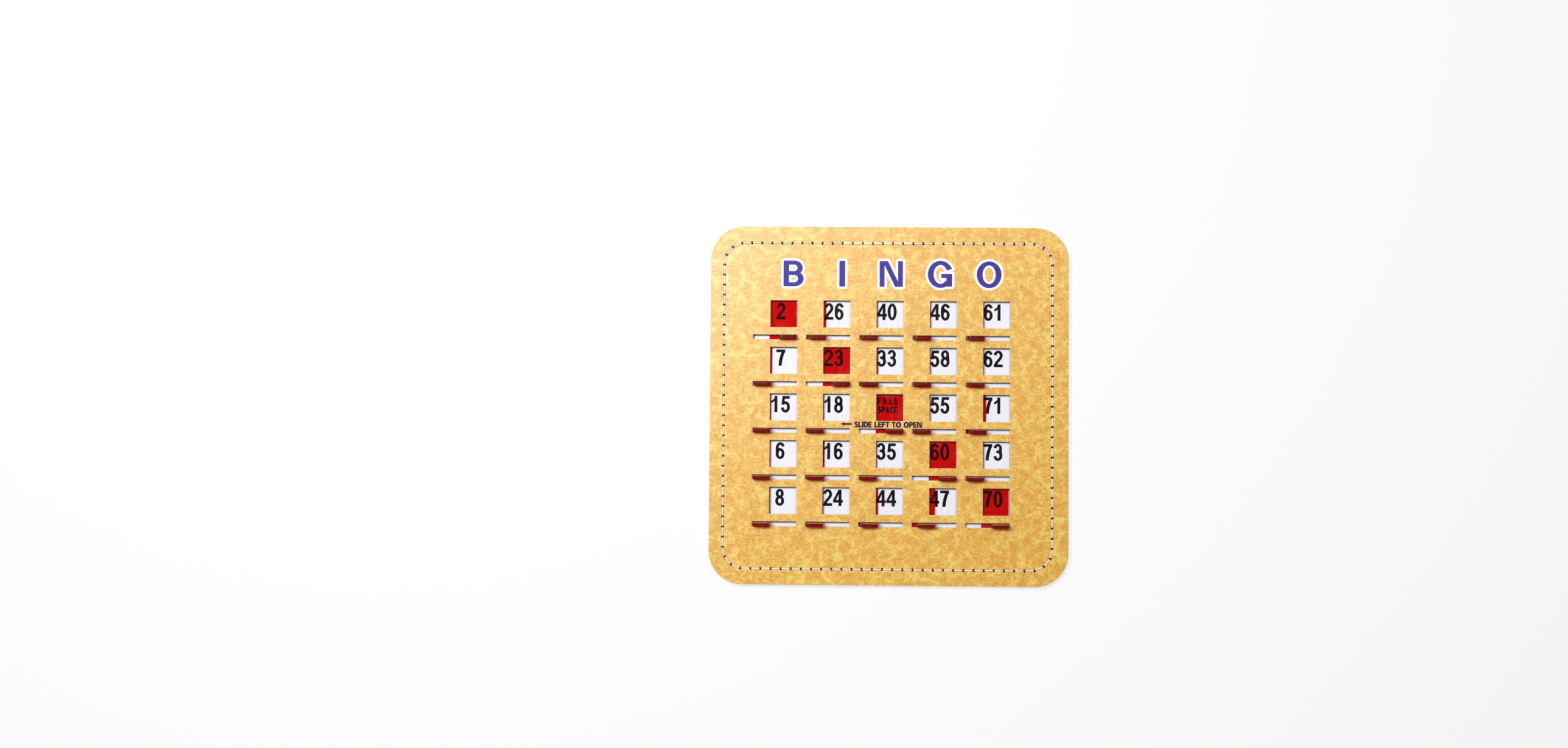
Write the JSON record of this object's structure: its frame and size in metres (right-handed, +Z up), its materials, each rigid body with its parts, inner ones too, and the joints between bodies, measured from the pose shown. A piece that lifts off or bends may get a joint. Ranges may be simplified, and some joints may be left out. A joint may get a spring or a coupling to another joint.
{
  "type": "bingo card",
  "caption": "Stitched, laminated board bingo card with rows of numbered windows, each covered by its own sliding red shutter with a finger tab.",
  "frame": {"origin": "middle of the card's back, on the surface that the card lies on", "axes": "+Z up out of the face, +Y towards the column letters, +X to the reader's right"},
  "size_m": [0.1948, 0.1948, 0.0098],
  "materials": {
    "cover_paper": "leather-grain, satin",
    "chipboard": "raw grey board",
    "lined_board": "white-lined board",
    "number_paper": "smooth white",
    "red_plastic": "clear red, glossy",
    "thread": "twisted white thread"
  },
  "bodies": {
    "card": {"back_paper": "cover_paper", "back_board": "chipboard", "number_sheet": "number_paper", "channel_board": "chipboard", "face_board": "lined_board", "face_paper": "cover_paper", "needle_thread": "thread", "bobbin_thread": "thread"},
    "shutter_b1": {"shutter_b1": "red_plastic"},
    "shutter_i1": {"shutter_i1": "red_plastic"},
    "shutter_n1": {"shutter_n1": "red_plastic"},
    "shutter_g1": {"shutter_g1": "red_plastic"},
    "shutter_o1": {"shutter_o1": "red_plastic"},
    "shutter_b2": {"shutter_b2": "red_plastic"},
    "shutter_i2": {"shutter_i2": "red_plastic"},
    "shutter_n2": {"shutter_n2": "red_plastic"},
    "shutter_g2": {"shutter_g2": "red_plastic"},
    "shutter_o2": {"shutter_o2": "red_plastic"},
    "shutter_b3": {"shutter_b3": "red_plastic"},
    "shutter_i3": {"shutter_i3": "red_plastic"},
    "shutter_n3": {"shutter_n3": "red_plastic"},
    "shutter_g3": {"shutter_g3": "red_plastic"},
    "shutter_o3": {"shutter_o3": "red_plastic"},
    "shutter_b4": {"shutter_b4": "red_plastic"},
    "shutter_i4": {"shutter_i4": "red_plastic"},
    "shutter_n4": {"shutter_n4": "red_plastic"},
    "shutter_g4": {"shutter_g4": "red_plastic"},
    "shutter_o4": {"shutter_o4": "red_plastic"},
    "shutter_b5": {"shutter_b5": "red_plastic"},
    "shutter_i5": {"shutter_i5": "red_plastic"},
    "shutter_n5": {"shutter_n5": "red_plastic"},
    "shutter_g5": {"shutter_g5": "red_plastic"},
    "shutter_o5": {"shutter_o5": "red_plastic"}
  },
  "joints": [
    {"name": "shutter_b1_slide", "type": "slide", "parent": "card", "child": "shutter_b1", "axis": [1, 0, 0], "range_m": [-0.01372, 0.00028]},
    {"name": "shutter_i1_slide", "type": "slide", "parent": "card", "child": "shutter_i1", "axis": [1, 0, 0], "range_m": [-0.00084, 0.01316]},
    {"name": "shutter_n1_slide", "type": "slide", "parent": "card", "child": "shutter_n1", "axis": [1, 0, 0], "range_m": [0, 0.014]},
    {"name": "shutter_g1_slide", "type": "slide", "parent": "card", "child": "shutter_g1", "axis": [1, 0, 0], "range_m": [0, 0.014]},
    {"name": "shutter_o1_slide", "type": "slide", "parent": "card", "child": "shutter_o1", "axis": [1, 0, 0], "range_m": [0, 0.014]},
    {"name": "shutter_b2_slide", "type": "slide", "parent": "card", "child": "shutter_b2", "axis": [1, 0, 0], "range_m": [-0.00042, 0.01358]},
    {"name": "shutter_i2_slide", "type": "slide", "parent": "card", "child": "shutter_i2", "axis": [1, 0, 0], "range_m": [-0.014, 0]},
    {"name": "shutter_n2_slide", "type": "slide", "parent": "card", "child": "shutter_n2", "axis": [1, 0, 0], "range_m": [-0.00042, 0.01358]},
    {"name": "shutter_g2_slide", "type": "slide", "parent": "card", "child": "shutter_g2", "axis": [1, 0, 0], "range_m": [0, 0.014]},
    {"name": "shutter_o2_slide", "type": "slide", "parent": "card", "child": "shutter_o2", "axis": [1, 0, 0], "range_m": [0, 0.014]},
    {"name": "shutter_b3_slide", "type": "slide", "parent": "card", "child": "shutter_b3", "axis": [1, 0, 0], "range_m": [0, 0.014]},
    {"name": "shutter_i3_slide", "type": "slide", "parent": "card", "child": "shutter_i3", "axis": [1, 0, 0], "range_m": [0, 0.014]},
    {"name": "shutter_n3_slide", "type": "slide", "parent": "card", "child": "shutter_n3", "axis": [1, 0, 0], "range_m": [-0.014, 0]},
    {"name": "shutter_g3_slide", "type": "slide", "parent": "card", "child": "shutter_g3", "axis": [1, 0, 0], "range_m": [0, 0.014]},
    {"name": "shutter_o3_slide", "type": "slide", "parent": "card", "child": "shutter_o3", "axis": [1, 0, 0], "range_m": [-0.00126, 0.01274]},
    {"name": "shutter_b4_slide", "type": "slide", "parent": "card", "child": "shutter_b4", "axis": [1, 0, 0], "range_m": [0, 0.014]},
    {"name": "shutter_i4_slide", "type": "slide", "parent": "card", "child": "shutter_i4", "axis": [1, 0, 0], "range_m": [-0.00042, 0.01358]},
    {"name": "shutter_n4_slide", "type": "slide", "parent": "card", "child": "shutter_n4", "axis": [1, 0, 0], "range_m": [0, 0.014]},
    {"name": "shutter_g4_slide", "type": "slide", "parent": "card", "child": "shutter_g4", "axis": [1, 0, 0], "range_m": [-0.014, 0]},
    {"name": "shutter_o4_slide", "type": "slide", "parent": "card", "child": "shutter_o4", "axis": [1, 0, 0], "range_m": [0, 0.014]},
    {"name": "shutter_b5_slide", "type": "slide", "parent": "card", "child": "shutter_b5", "axis": [1, 0, 0], "range_m": [0, 0.014]},
    {"name": "shutter_i5_slide", "type": "slide", "parent": "card", "child": "shutter_i5", "axis": [1, 0, 0], "range_m": [0, 0.014]},
    {"name": "shutter_n5_slide", "type": "slide", "parent": "card", "child": "shutter_n5", "axis": [1, 0, 0], "range_m": [-0.0007, 0.0133]},
    {"name": "shutter_g5_slide", "type": "slide", "parent": "card", "child": "shutter_g5", "axis": [1, 0, 0], "range_m": [-0.00266, 0.01134]},
    {"name": "shutter_o5_slide", "type": "slide", "parent": "card", "child": "shutter_o5", "axis": [1, 0, 0], "range_m": [-0.01358, 0.00042]}
  ]
}
